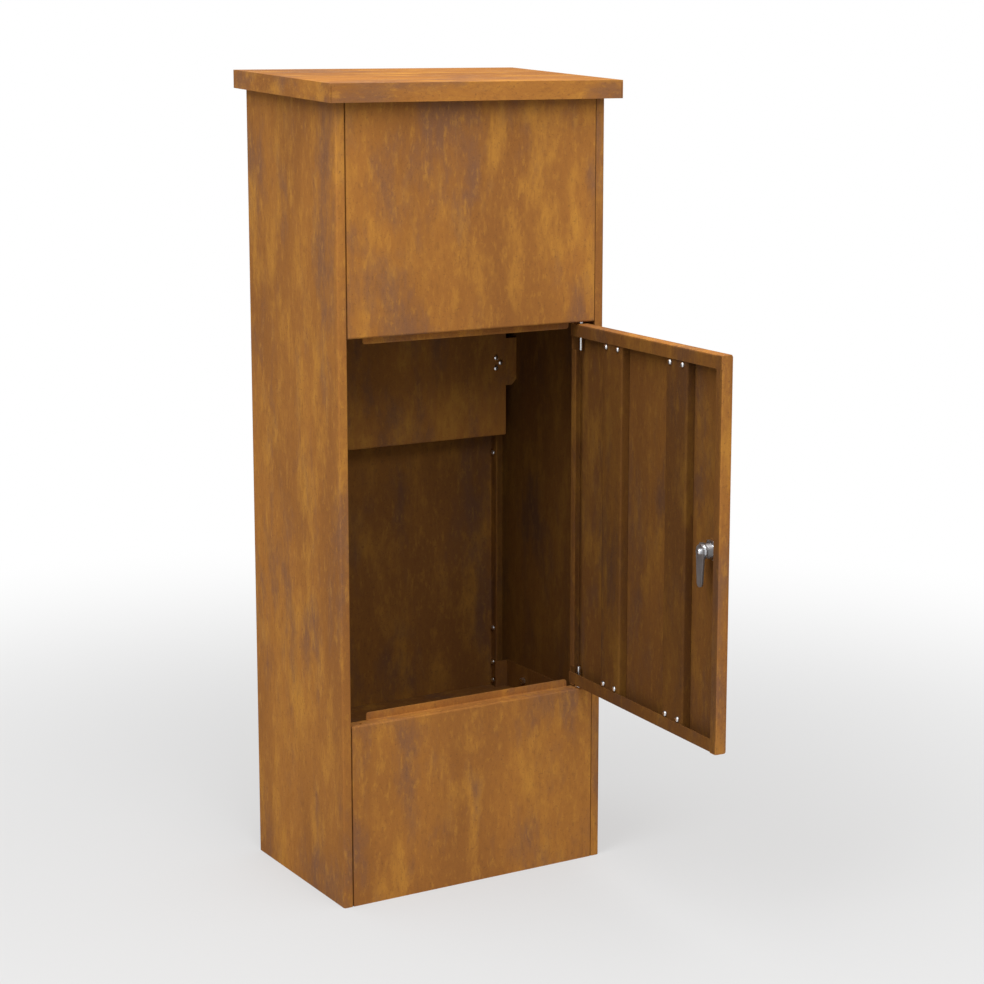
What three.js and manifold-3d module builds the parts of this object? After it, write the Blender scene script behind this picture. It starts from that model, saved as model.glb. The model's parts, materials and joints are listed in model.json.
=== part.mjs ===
// A free-standing sheet-steel parcel mailbox in weathering steel, in millimetres with +Z up.
// The origin is the middle of the underside. The door faces -Y and stands open, as it was photographed.
import * as THREE from 'three';
import Module from 'manifold-3d';
import { mergeVertices } from 'three/addons/utils/BufferGeometryUtils.js';

const wasm = await Module();
wasm.setup();

// Body
const bodyWidth = 368;
const bodyDepth = 240;
const frontHeight = 988;
const roofRise = 12;
const sheet = 1.5;
const bend = 1;
const seat = 0.3;
const frontFlange = 12.5;
const jambDepth = 14;
const rearReturn = 17;
const rearLip = 14;
const panelSeam = 0.6;

// Roof cap and the bearers below it
const sideOverhang = 15;
const frontOverhang = 17;
const rearOverhang = 2;
const capSkirt = 22;
const cornerSeam = 0.5;
const bearerSpan = 120;
const bearerFlange = 26;
const bearerDepth = 24;
const roofStudSpan = 240;
const roofStudRadius = 2.5;
const roofStudLength = 8;

// Door opening with its stop lips
const openingBottom = 226.5;
const openingTop = 693.5;
const lipSetback = 15.8;
const upperLip = 9;
const lowerLip = 9.5;
const lipInset = 28;
const lipCorner = 4;

// Door
const doorThickness = 14.5;
const doorSideReturn = 11;
const doorEndReturn = 16;
const doorEndGap = 2.5;
const doorFreeGap = 2.5;
const doorHingeGap = 3;
const hingeInset = 12;
const doorOpenAngle = 87;
const stiffenerWidth = 45;
const stiffenerSpacing = 144.5;
const stiffenerBoltSpan = 27;
const stiffenerBoltInset = 20.5;

// Hinge pins
const pinRadius = 2;
const pinReach = 6;
const topPinShown = 17;
const bottomPinShown = 8;
const collarRadius = 3.6;
const collarHeight = 1.5;

// Cam lock
const lockHeight = 463;
const lockInset = 31;
const lockRadius = 8;
const lockHeadRadius = 11;
const lockHeadHeight = 5;
const lockNutAcross = 22;
const lockNutHeight = 4;
const plugRadius = 5.2;
const keySlotLength = 7;
const keySlotWidth = 1.2;
const keySlotDepth = 4;
const camThickness = 2.5;
const camLength = 42;
const camHubRadius = 8;
const camTipRadius = 5;
const camClearance = 3;

// Letter slot in the back, its flap and the baffle in front of it
const slotEndMargin = 26.7;
const slotHeight = 38;
const slotTopDrop = 84;
const flapOverlap = 9;
const flapCurl = 3.6;
const flapStandOff = 1.2;
const flapLip = 8;
const flapPinRadius = 2;
const earThickness = 3;
const earDrop = 9;
const baffleHeight = 304;
const baffleDrop = 40;
const baffleGap = 38;
const baffleTurn = 12;
const bracketRise = 66;
const bracketHeight = 62;
const bracketReach = 16;
const bracketChamfer = 7;

// Floor tray and base plate
const trayFloor = 170;
const trayFlange = 37;
const trayNutInset = 45;
const trayStudRadius = 2.5;
const trayStudLength = 8;
const baseThickness = 3;
const baseFlange = 28;
const anchorRadius = 5.5;
const anchorInsetX = 45;
const anchorInsetY = 40;

// Fasteners
const boltRadius = 2;
const boltHeadRadius = 3.4;
const boltHeadHeight = 2.4;
const nutAcross = 8;
const nutHeight = 4;
const backBoltHeights = [179, 204, 252, 493];

// Places worked out from the sizes above
const halfWidth = bodyWidth / 2;
const front = -bodyDepth / 2;
const rear = bodyDepth / 2;
const jamb = halfWidth - frontFlange;
const capFront = front - frontOverhang;
const capRear = rear + rearOverhang;
const roofAngle = Math.atan2(roofRise, capRear - capFront);
const lipPlane = front + lipSetback + sheet / 2;
const hingeX = jamb - doorHingeGap - hingeInset;
const hingeY = front + doorThickness / 2;
const doorBottom = openingBottom + doorEndGap;
const doorTop = openingTop - doorEndGap;
const doorFree = -jamb + doorFreeGap - hingeX;
const doorMiddle = (doorFree + hingeInset) / 2;
const doorInner = doorThickness / 2;
const doorOuter = -doorThickness / 2;
const holeRadius = boltRadius + seat;
const backFlangeFace = halfWidth - rearReturn - seat;
const slotWidth = 2 * (backFlangeFace - slotEndMargin);
const slotBottom = frontHeight - slotTopDrop - slotHeight;
const baffleFace = rear - sheet - baffleGap;
const baffleTop = slotBottom - baffleDrop;
const baffleBottom = baffleTop - baffleHeight;
const bracketBottom = baffleBottom + bracketRise;
const smallSides = 12;
const roundSides = 16;
const wideSides = 24;
const bendSteps = 3;
const toRadians = Math.PI / 180;

// Two places along an axis, the lower one first
function inOrder(a, b) {
  return a < b ? [a, b] : [b, a];
}

// Turns a closed three.js geometry into a solid that can be joined and cut
function solid(geometry) {
  const bare = geometry.index ? geometry.toNonIndexed() : geometry.clone();
  bare.deleteAttribute('normal');
  bare.deleteAttribute('uv');
  const merged = mergeVertices(bare, 1e-4);
  const vertProperties = new Float32Array(merged.attributes.position.array);
  const triVerts = new Uint32Array(merged.index.array);
  return new wasm.Manifold(new wasm.Mesh({ numProp: 3, vertProperties, triVerts }));
}

// Turns a solid back into a three.js geometry
function geometryOf(body) {
  const mesh = body.getMesh();
  const geometry = new THREE.BufferGeometry();
  geometry.setAttribute('position', new THREE.BufferAttribute(new Float32Array(mesh.vertProperties), 3));
  geometry.setIndex(new THREE.BufferAttribute(new Uint32Array(mesh.triVerts), 1));
  const faceted = geometry.toNonIndexed();
  faceted.computeVertexNormals();
  return faceted;
}

// A block between two corners
function block(low, high) {
  const size = high.map((value, axis) => value - low[axis]);
  const geometry = new THREE.BoxGeometry(...size);
  geometry.translate(low[0] + size[0] / 2, low[1] + size[1] / 2, low[2] + size[2] / 2);
  return solid(geometry);
}

// Each direction an outline can be pulled along, with the two axes that it is drawn in
const frames = {
  z: [new THREE.Vector3(1, 0, 0), new THREE.Vector3(0, 1, 0), new THREE.Vector3(0, 0, 1)],
  x: [new THREE.Vector3(0, 1, 0), new THREE.Vector3(0, 0, 1), new THREE.Vector3(1, 0, 0)],
  y: [new THREE.Vector3(0, 0, 1), new THREE.Vector3(1, 0, 0), new THREE.Vector3(0, 1, 0)],
};

// Pulls an outline along an axis: drawn in XY along Z, in YZ along X, and in ZX along Y
function pull(shape, axis, from, to, curveSegments = 6) {
  const options = { depth: to - from, bevelEnabled: false, steps: 1, curveSegments };
  const geometry = new THREE.ExtrudeGeometry(shape, options);
  geometry.translate(0, 0, from);
  geometry.applyMatrix4(new THREE.Matrix4().makeBasis(...frames[axis]));
  return solid(geometry);
}

function polygon(points) {
  return new THREE.Shape(points.map(([u, v]) => new THREE.Vector2(u, v)));
}

// The section of a folded sheet from the corners of its middle line, with every fold rounded
function foldedShape(corners, thickness = sheet) {
  const points = corners.map(([u, v]) => new THREE.Vector2(u, v));
  const radius = bend + thickness / 2;
  const left = [];
  const right = [];
  const addSides = (point, normal) => {
    left.push(point.clone().addScaledVector(normal, thickness / 2));
    right.push(point.clone().addScaledVector(normal, -thickness / 2));
  };
  const normalOf = (a, b) => {
    const along = b.clone().sub(a).normalize();
    return new THREE.Vector2(-along.y, along.x);
  };
  addSides(points[0], normalOf(points[0], points[1]));
  for (let i = 1; i < points.length - 1; i += 1) {
    const before = normalOf(points[i - 1], points[i]);
    const after = normalOf(points[i], points[i + 1]);
    const turn = Math.atan2(before.cross(after), before.dot(after));
    const side = Math.sign(turn);
    const middle = before.clone().add(after).normalize();
    const reach = radius / Math.cos(turn / 2);
    const centre = points[i].clone().addScaledVector(middle, side * reach);
    for (let step = 0; step <= bendSteps; step += 1) {
      const normal = before.clone().rotateAround(new THREE.Vector2(), turn * step / bendSteps);
      addSides(centre.clone().addScaledVector(normal, -side * radius), normal);
    }
  }
  addSides(points.at(-1), normalOf(points.at(-2), points.at(-1)));
  return new THREE.Shape([...left, ...right.reverse()]);
}

// A round bar between two heights along an axis, through the point given by the other two coordinates
function bar(axis, radius, from, to, centre, sides = roundSides) {
  const geometry = new THREE.CylinderGeometry(radius, radius, to - from, sides);
  if (axis === 'z') geometry.rotateX(Math.PI / 2);
  if (axis === 'x') geometry.rotateZ(-Math.PI / 2);
  const middle = (from + to) / 2;
  if (axis === 'x') geometry.translate(middle, centre[0], centre[1]);
  if (axis === 'y') geometry.translate(centre[0], middle, centre[1]);
  if (axis === 'z') geometry.translate(centre[0], centre[1], middle);
  return solid(geometry);
}

// A body of revolution about +Z from a profile of radius and height
function turned(profile, sides = roundSides) {
  const points = profile.map(([radius, height]) => new THREE.Vector2(radius, height));
  const geometry = new THREE.LatheGeometry(points, sides);
  geometry.rotateX(Math.PI / 2);
  return geometry;
}

// A pan-head bolt along +Z with its head standing on the plane z = 0
function boltGeometry(grip) {
  return turned([
    [0, -grip],
    [boltRadius, -grip],
    [boltRadius, 0],
    [boltHeadRadius, 0],
    [boltHeadRadius * 0.92, boltHeadHeight * 0.6],
    [boltHeadRadius * 0.55, boltHeadHeight],
    [0, boltHeadHeight],
  ], smallSides);
}

// A hexagon nut along +Z standing on the plane z = 0, with a bore for the given thread
function nutGeometry(across, height, threadRadius) {
  const corner = across / 2 / Math.cos(Math.PI / 6);
  const points = [];
  for (let i = 0; i < 6; i += 1) {
    points.push([corner * Math.cos(i * Math.PI / 3), corner * Math.sin(i * Math.PI / 3)]);
  }
  const shape = polygon(points);
  const hole = new THREE.Path();
  hole.absarc(0, 0, threadRadius + seat, 0, 2 * Math.PI, true);
  shape.holes.push(hole);
  return geometryOf(pull(shape, 'z', 0, height));
}

// Turns and moves a geometry that is drawn along +Z so that it points along a direction from a point
function aimed(geometry, direction, point) {
  const turn = new THREE.Quaternion();
  turn.setFromUnitVectors(new THREE.Vector3(0, 0, 1), new THREE.Vector3(...direction));
  geometry.applyQuaternion(turn);
  geometry.translate(...point);
  return geometry;
}

// Height of the roof plate's upper side at a depth
function roofTop(y) {
  return frontHeight + (y - capFront) * Math.tan(roofAngle);
}

// Height of the roof plate's underside at a depth
function roofUnder(y) {
  return roofTop(y) - sheet / Math.cos(roofAngle);
}

// Trims a wall below the roof plate
function trimmedToRoof(body) {
  const reach = bodyWidth;
  const above = polygon([
    [capFront, roofUnder(capFront) - seat],
    [capRear, roofUnder(capRear) - seat],
    [capRear, frontHeight + reach],
    [capFront, frontHeight + reach],
  ]);
  return body.subtract(pull(above, 'x', -reach, reach));
}

// Side panel: front flange with its jamb return, web, rear return and the lip that the back is bolted to.
// side is -1 for the left panel and 1 for the right one.
function sidePanel(side) {
  const half = sheet / 2;
  const section = foldedShape([
    [side * (jamb + half), front + jambDepth],
    [side * (jamb + half), front + half],
    [side * (halfWidth - half), front + half],
    [side * (halfWidth - half), rear - half],
    [side * (halfWidth - rearReturn + half), rear - half],
    [side * (halfWidth - rearReturn + half), rear - rearLip],
  ]);
  let panel = trimmedToRoof(pull(section, 'z', 0, frontHeight + roofRise));
  for (const height of backBoltHeights) {
    const through = [rear - rearLip / 2, height];
    const backOfLip = side * (halfWidth - rearReturn + 2 * sheet);
    const [inside, outside] = inOrder(side * (backFlangeFace - rearReturn), backOfLip);
    panel = panel.subtract(bar('x', holeRadius, inside, outside, through, smallSides));
  }
  for (const y of trayStudDepths()) {
    const root = side * (halfWidth - sheet / 2);
    const tip = side * (halfWidth - sheet - trayStudLength);
    const place = [y, trayFloor + trayFlange / 2];
    panel = panel.add(bar('x', trayStudRadius, ...inOrder(root, tip), place, smallSides));
  }
  return panel;
}

function trayStudDepths() {
  return [trayFront() + trayNutInset, trayRear() - rearLip - trayNutInset];
}

function trayFront() {
  return front + lipSetback + sheet + seat;
}

function trayRear() {
  return rear - sheet - seat;
}

// Side returns that stiffen a front panel and lie against the jamb returns
function panelSideReturns(bottom, top) {
  const outer = jamb - panelSeam;
  const left = block([-outer, front + sheet / 2, bottom], [-outer + sheet, front + jambDepth, top]);
  const right = block([outer - sheet, front + sheet / 2, bottom], [outer, front + jambDepth, top]);
  return left.add(right);
}

// Cuts the ends off a stop lip, with a rounded corner, so that the door's hinge edge can swing past it
function lipEndCut(lipEdge, ledge) {
  const inner = jamb - lipInset;
  const outer = jamb;
  const towards = Math.sign(ledge - lipEdge);
  const shape = new THREE.Shape();
  shape.moveTo(lipEdge - towards * sheet, inner - lipCorner);
  shape.lineTo(lipEdge, inner - lipCorner);
  shape.quadraticCurveTo(lipEdge, inner, lipEdge + towards * lipCorner, inner);
  shape.lineTo(ledge, inner);
  shape.lineTo(ledge, outer);
  shape.lineTo(lipEdge - towards * sheet, outer);
  shape.closePath();
  const cut = pull(shape, 'y', lipPlane - 2 * sheet, lipPlane + 2 * sheet);
  return cut.add(cut.mirror([1, 0, 0]));
}

// Upper front panel: flush face, ledge over the door and a stop lip that hangs behind the door's top edge
function upperFrontPanel() {
  const half = sheet / 2;
  const width = jamb - panelSeam;
  const section = foldedShape([
    [front + half, frontHeight + roofRise],
    [front + half, openingTop + half],
    [lipPlane, openingTop + half],
    [lipPlane, openingTop - upperLip],
  ]);
  let panel = pull(section, 'x', -width, width);
  panel = panel.add(panelSideReturns(openingTop + half, frontHeight + roofRise));
  panel = trimmedToRoof(panel);
  panel = panel.subtract(lipEndCut(openingTop - upperLip, openingTop));
  return panel.subtract(hingeHoles());
}

// Lower front panel: flush face, ledge below the door and a stop lip that stands behind its bottom edge
function lowerFrontPanel() {
  const half = sheet / 2;
  const width = jamb - panelSeam;
  const section = foldedShape([
    [front + half, 0],
    [front + half, openingBottom - half],
    [lipPlane, openingBottom - half],
    [lipPlane, openingBottom + lowerLip],
  ]);
  let panel = pull(section, 'x', -width, width);
  panel = panel.add(panelSideReturns(0, openingBottom - half));
  panel = panel.subtract(lipEndCut(openingBottom + lowerLip, openingBottom));
  return panel.subtract(hingeHoles());
}

// Pivot holes at both jambs, because the door can be hung on either side
function hingeHoles() {
  const low = openingBottom - 2 * sheet;
  const high = openingTop + 2 * sheet;
  const right = bar('z', pinRadius + seat, low, high, [hingeX, hingeY], smallSides);
  const left = bar('z', pinRadius + seat, low, high, [-hingeX, hingeY], smallSides);
  return right.add(left);
}

// Roof cap: one pitched plate with a skirt folded down on all four sides and open seams at its corners
function roofCap() {
  const outerHalf = halfWidth + sideOverhang;
  const outer = polygon([
    [capFront, roofTop(capFront) - capSkirt],
    [capRear, roofTop(capRear) - capSkirt],
    [capRear, roofTop(capRear)],
    [capFront, roofTop(capFront)],
  ]);
  const innerFront = capFront + sheet;
  const innerRear = capRear - sheet;
  const inner = polygon([
    [innerFront, roofUnder(innerFront) - 2 * capSkirt],
    [innerRear, roofUnder(innerRear) - 2 * capSkirt],
    [innerRear, roofUnder(innerRear)],
    [innerFront, roofUnder(innerFront)],
  ]);
  let cap = pull(outer, 'x', -outerHalf, outerHalf);
  cap = cap.subtract(pull(inner, 'x', -outerHalf + sheet, outerHalf - sheet));
  for (const side of [-1, 1]) {
    const seamAt = side * (outerHalf - sheet - cornerSeam / 2);
    const low = roofTop(capFront) - 2 * capSkirt;
    const frontTop = roofTop(capFront) - 2 * sheet;
    const rearTop = roofTop(capRear) - 2 * sheet;
    const seamLow = seamAt - cornerSeam / 2;
    const seamHigh = seamAt + cornerSeam / 2;
    cap = cap.subtract(block([seamLow, capFront - sheet, low], [seamHigh, innerFront + sheet, frontTop]));
    cap = cap.subtract(block([seamLow, innerRear - sheet, low], [seamHigh, capRear + sheet, rearTop]));
  }
  for (const [x, y] of roofStudPlaces()) {
    const under = roofUnder(y);
    cap = cap.add(bar('z', roofStudRadius, under - roofStudLength, under + sheet / 2, [x, y], smallSides));
  }
  return cap;
}

function roofStudPlaces() {
  const places = [];
  for (const y of [-bearerSpan / 2, bearerSpan / 2]) {
    for (const x of [-roofStudSpan / 2, roofStudSpan / 2]) places.push([x, y]);
  }
  return places;
}

// Roof bearer: a channel across the body whose upper flange lies along the pitched roof plate
function roofBearer(y) {
  const half = sheet / 2;
  const clear = seat + half;
  const along = (u, down) => {
    const offset = u * Math.cos(roofAngle) + down * Math.sin(roofAngle);
    const height = roofUnder(y) + u * Math.sin(roofAngle) - (clear + down) * Math.cos(roofAngle);
    return [y + offset, height];
  };
  const section = foldedShape([
    along(-bearerFlange / 2, bearerDepth),
    along(-bearerFlange / 2, 0),
    along(bearerFlange / 2, 0),
    along(bearerFlange / 2, bearerDepth),
  ]);
  const reach = halfWidth - sheet - seat;
  let bearer = pull(section, 'x', -reach, reach);
  for (const x of [-roofStudSpan / 2, roofStudSpan / 2]) {
    const under = roofUnder(y);
    const [low, high] = [under - bearerDepth, under + bearerDepth];
    const hole = bar('z', roofStudRadius + seat, low, high, [x, y], smallSides);
    bearer = bearer.subtract(hole);
  }
  return bearer;
}

// Back panel: a pan between the rear lips, with the letter slot and the ears of its flap
function backPanel() {
  const half = sheet / 2;
  const section = foldedShape([
    [-backFlangeFace + half, rear - rearLip],
    [-backFlangeFace + half, rear - half],
    [backFlangeFace - half, rear - half],
    [backFlangeFace - half, rear - rearLip],
  ]);
  let panel = trimmedToRoof(pull(section, 'z', 0, frontHeight + roofRise));
  const slot = block(
    [-slotWidth / 2, rear - 2 * sheet, slotBottom],
    [slotWidth / 2, rear + sheet, slotBottom + slotHeight],
  );
  panel = panel.subtract(slot);
  for (const height of backBoltHeights) {
    const hole = bar('x', holeRadius, -halfWidth, halfWidth, [rear - rearLip / 2, height], smallSides);
    panel = panel.subtract(hole);
  }
  for (const side of [-1, 1]) panel = panel.add(flapEar(side));
  return panel;
}

function flapPinY() {
  return rear + flapStandOff + flapCurl;
}

function flapPinZ() {
  return slotBottom + slotHeight + flapOverlap;
}

function flapHalfWidth() {
  return slotWidth / 2 + flapOverlap;
}

// Ear beside the flap: a small plate on the back panel, round about the pin's hole
function flapEar(side) {
  const inner = flapHalfWidth() + seat;
  const from = side > 0 ? inner : -inner - earThickness;
  const earRadius = flapCurl + sheet;
  const shape = new THREE.Shape();
  shape.moveTo(rear - sheet / 2, flapPinZ() - earDrop);
  shape.lineTo(flapPinY(), flapPinZ() - earRadius);
  shape.absarc(flapPinY(), flapPinZ(), earRadius, -Math.PI / 2, Math.PI / 2, false);
  shape.lineTo(rear - sheet / 2, flapPinZ() + earDrop);
  shape.closePath();
  const hole = new THREE.Path();
  hole.absarc(flapPinY(), flapPinZ(), flapPinRadius + seat, 0, 2 * Math.PI, true);
  shape.holes.push(hole);
  return pull(shape, 'x', from, from + earThickness);
}

// Letter flap: a curl round the pin, a plate that hangs over the slot, and a finger lip turned out below.
// It is drawn about the pin's axis.
function letterFlap() {
  const width = flapHalfWidth();
  const plate = -flapCurl + sheet / 2;
  const bottom = -slotHeight - 2 * flapOverlap;
  const ring = new THREE.Shape();
  ring.absarc(0, 0, flapCurl, 0, 2 * Math.PI, false);
  const bore = new THREE.Path();
  bore.absarc(0, 0, flapPinRadius + seat, 0, 2 * Math.PI, true);
  ring.holes.push(bore);
  const curl = pull(ring, 'x', -width, width);
  const hanging = foldedShape([[plate, 0], [plate, bottom], [plate + flapLip, bottom - flapLip / 2]]);
  const clearBore = bar('x', flapPinRadius + seat, -width - sheet, width + sheet, [0, 0], wideSides);
  return curl.add(pull(hanging, 'x', -width, width)).subtract(clearBore);
}

// Pin through both ears, with a rivet head at each end
function flapPin() {
  const end = flapHalfWidth() + 2 * seat + earThickness;
  const headLength = sheet;
  let pin = bar('x', flapPinRadius, -end - headLength / 2, end + headLength / 2, [0, 0], smallSides);
  pin = pin.add(bar('x', flapCurl, end, end + headLength, [0, 0], smallSides));
  return pin.add(bar('x', flapCurl, -end - headLength, -end, [0, 0], smallSides));
}

// Baffle: a plate before the letter slot that keeps hands out, folded back to the rear wall at its top
function bafflePlate() {
  const half = sheet / 2;
  const width = backFlangeFace - sheet - seat;
  const topReturn = rear - sheet - 2 * seat;
  const section = foldedShape([
    [baffleFace + baffleTurn, baffleBottom + half],
    [baffleFace + half, baffleBottom + half],
    [baffleFace + half, baffleTop],
    [topReturn, baffleTop],
  ]);
  let plate = pull(section, 'x', -width, width);
  for (const [x, z] of baffleBoltPlaces()) {
    const hole = bar('y', holeRadius, baffleFace - sheet, baffleFace + 2 * sheet, [x, z], smallSides);
    plate = plate.subtract(hole);
  }
  return plate;
}

// Three bolts at each side, two in a column and one beside them
function baffleBoltPlaces() {
  const places = [];
  for (const side of [-1, 1]) {
    const column = side * (backFlangeFace - sheet - bracketReach);
    const middle = bracketBottom + bracketHeight / 2;
    places.push([column, middle + bracketChamfer]);
    places.push([column, middle - bracketChamfer]);
    places.push([column + side * bracketChamfer, middle]);
  }
  return places;
}

// Baffle bracket: an angle behind the plate whose leg reaches forward of the rear lip, past the plate's side
function baffleBracket(side) {
  const edge = side * (halfWidth - sheet - seat);
  const inner = side * (backFlangeFace - sheet - 2 * bracketReach);
  const y0 = baffleFace + sheet + seat;
  const outline = [
    [bracketBottom, inner],
    [bracketBottom, edge - side * bracketChamfer],
    [bracketBottom + bracketChamfer, edge],
    [bracketBottom + bracketHeight, edge],
    [bracketBottom + bracketHeight, inner],
  ];
  if (side < 0) outline.reverse();
  let bracket = pull(polygon(outline), 'y', y0, y0 + sheet);
  const [legLow, legHigh] = inOrder(edge, edge - side * sheet);
  const legTop = bracketBottom + bracketHeight;
  const leg = block([legLow, y0, bracketBottom + bracketChamfer], [legHigh, rear - rearLip, legTop]);
  bracket = bracket.add(leg);
  for (const [x, z] of baffleBoltPlaces()) {
    bracket = bracket.subtract(bar('y', holeRadius, y0 - sheet, y0 + 2 * sheet, [x, z], smallSides));
  }
  return bracket;
}

// Outline of a floor that is notched round the folded corners of the body, drawn inwards by an inset
function notchedOutline(width, low, high, frontNotch, rearNotch, inset) {
  const x = width - inset;
  const y0 = low + inset;
  const y1 = high - inset;
  const right = [];
  if (frontNotch) right.push([x - frontNotch[0], y0], [x - frontNotch[0], y0 + frontNotch[1]]);
  right.push([x, frontNotch ? y0 + frontNotch[1] : y0]);
  right.push([x, y1 - rearNotch[1]], [x - rearNotch[0], y1 - rearNotch[1]], [x - rearNotch[0], y1]);
  const left = right.map(([u, v]) => [-u, v]).reverse();
  return polygon([...right, ...left]);
}

// Floor tray: a pan with flanges up the walls and a flat tongue that runs back between the rear lips
function floorTray() {
  const width = halfWidth - sheet - seat;
  const notch = [rearReturn + seat + bend, rearLip + seat];
  const outer = notchedOutline(width, trayFront(), trayRear(), null, notch, 0);
  const inner = notchedOutline(width, trayFront(), trayRear(), null, notch, sheet);
  let tray = pull(outer, 'z', trayFloor, trayFloor + trayFlange);
  tray = tray.subtract(pull(inner, 'z', trayFloor + sheet, trayFloor + 2 * trayFlange));
  tray = tray.subtract(block(
    [-halfWidth, rear - rearLip - seat, trayFloor + sheet],
    [halfWidth, rear, trayFloor + 2 * trayFlange],
  ));
  for (const y of trayStudDepths()) {
    const place = [y, trayFloor + trayFlange / 2];
    tray = tray.subtract(bar('x', trayStudRadius + seat, -halfWidth, halfWidth, place, smallSides));
  }
  return tray;
}

// Base plate: the thick plate that stands on the ground, with four anchor holes and an upstand all round
function basePlate() {
  const width = halfWidth - sheet - seat;
  const low = front + sheet + seat;
  const high = rear - sheet - seat;
  const frontNotch = [frontFlange + sheet + seat + bend, jambDepth + seat];
  const rearNotch = [rearReturn + seat + bend, rearLip + seat];
  const outer = notchedOutline(width, low, high, frontNotch, rearNotch, 0);
  const inner = notchedOutline(width, low, high, frontNotch, rearNotch, sheet);
  let plate = pull(outer, 'z', 0, baseFlange);
  plate = plate.subtract(pull(inner, 'z', baseThickness, 2 * baseFlange));
  for (const x of [-1, 1]) {
    for (const y of [-1, 1]) {
      const centre = [x * (halfWidth - anchorInsetX), y * (rear - anchorInsetY)];
      plate = plate.subtract(bar('z', anchorRadius, -baseThickness, 2 * baseThickness, centre, wideSides));
    }
  }
  return plate;
}

// Door pan, drawn closed about the hinge axis: skin, four edge walls and the returns that fold back inside
function doorPan() {
  const half = sheet / 2;
  const height = doorTop - doorBottom;
  const plan = foldedShape([
    [doorFree + doorSideReturn, doorInner - half],
    [doorFree + half, doorInner - half],
    [doorFree + half, doorOuter + half],
    [hingeInset - half, doorOuter + half],
    [hingeInset - half, doorInner - half],
    [hingeInset - doorSideReturn, doorInner - half],
  ]);
  const side = foldedShape([
    [doorInner - half, doorBottom + doorEndReturn],
    [doorInner - half, doorBottom + half],
    [doorOuter + half, doorBottom + half],
    [doorOuter + half, doorTop - half],
    [doorInner - half, doorTop - half],
    [doorInner - half, doorTop - doorEndReturn],
  ]);
  let pan = pull(plan, 'z', doorBottom, doorBottom + height);
  pan = pan.add(pull(side, 'x', doorFree, hingeInset));
  pan = pan.subtract(bar('z', pinRadius + seat, doorBottom - sheet, doorTop + sheet, [0, 0], smallSides));
  const lockPlace = [doorFree + lockInset, lockHeight];
  const lockHole = bar('y', lockRadius + seat, doorOuter - sheet, doorInner, lockPlace, wideSides);
  pan = pan.subtract(lockHole);
  pan = pan.subtract(pinWindows());
  for (const [x, z] of stiffenerBoltPlaces()) {
    const bossEnd = stiffenerInner() - sheet - seat;
    const boss = bar('y', boltRadius + 2 * sheet, doorOuter + half, bossEnd, [x, z], smallSides);
    const thread = bar('y', holeRadius, doorOuter + sheet, doorInner, [x, z], smallSides);
    pan = pan.add(boss).subtract(thread);
  }
  return pan;
}

// Windows in the hinge-side returns through which both pivot pins can be reached
function pinWindows() {
  const edge = hingeInset - sheet;
  const inner = edge - doorSideReturn - pinRadius;
  const deep = doorInner - 2 * sheet;
  const topLow = doorTop - doorEndReturn - topPinShown;
  const bottomHigh = doorBottom + doorEndReturn + bottomPinShown;
  const topHigh = doorTop - doorEndReturn;
  const bottomLow = doorBottom + doorEndReturn;
  const upper = block([inner, deep, topLow], [edge, doorInner + sheet, topHigh]);
  const lower = block([inner, deep, bottomLow], [edge, doorInner + sheet, bottomHigh]);
  return upper.add(lower);
}

// Depth of the stiffeners' upper face, which lies just under the returns
function stiffenerInner() {
  return doorInner - sheet - seat;
}

function stiffenerBoltPlaces() {
  const places = [];
  for (const side of [1, -1]) {
    for (const along of [1, -1]) {
      const x = doorMiddle + (side * stiffenerSpacing + along * stiffenerBoltSpan) / 2;
      places.push([x, doorTop - stiffenerBoltInset]);
      places.push([x, doorBottom + stiffenerBoltInset]);
    }
  }
  return places;
}

// Door stiffener: an upright channel open to the skin, tucked under the top and bottom returns
function doorStiffener(side) {
  const half = sheet / 2;
  const middle = doorMiddle + side * stiffenerSpacing / 2;
  const face = stiffenerInner() - half;
  const foot = doorOuter + sheet + seat;
  const section = foldedShape([
    [middle - stiffenerWidth / 2 + half, foot],
    [middle - stiffenerWidth / 2 + half, face],
    [middle + stiffenerWidth / 2 - half, face],
    [middle + stiffenerWidth / 2 - half, foot],
  ]);
  const clear = sheet + bend + seat;
  let channel = pull(section, 'z', doorBottom + clear, doorTop - clear);
  for (const [x, z] of stiffenerBoltPlaces()) {
    channel = channel.subtract(bar('y', holeRadius, face - sheet, face + sheet, [x, z], smallSides));
  }
  return channel;
}

// Pivot pin with a collar behind the door's end wall. end is 1 at the top and -1 at the bottom.
function hingePin(end) {
  const shown = end > 0 ? topPinShown : bottomPinShown;
  const wall = end > 0 ? doorTop - sheet : doorBottom + sheet;
  const tip = wall + end * (sheet + doorEndGap + pinReach);
  const tail = wall - end * (doorEndReturn - sheet + shown);
  const collarNear = wall - end * seat;
  const collarFar = collarNear - end * collarHeight;
  const pin = bar('z', pinRadius, ...inOrder(tip, tail), [0, 0]);
  return pin.add(bar('z', collarRadius, ...inOrder(collarNear, collarFar), [0, 0]));
}

// Washer that carries the door on the lower ledge
function hingeWasher() {
  const shape = new THREE.Shape();
  shape.absarc(0, 0, collarRadius + sheet, 0, 2 * Math.PI, false);
  const hole = new THREE.Path();
  hole.absarc(0, 0, pinRadius + seat, 0, 2 * Math.PI, true);
  shape.holes.push(hole);
  return pull(shape, 'z', openingBottom + seat, doorBottom - seat, 8);
}

// Depth where the lock body ends and the cam begins
function lockRear() {
  return doorInner + camClearance - seat;
}

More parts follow.
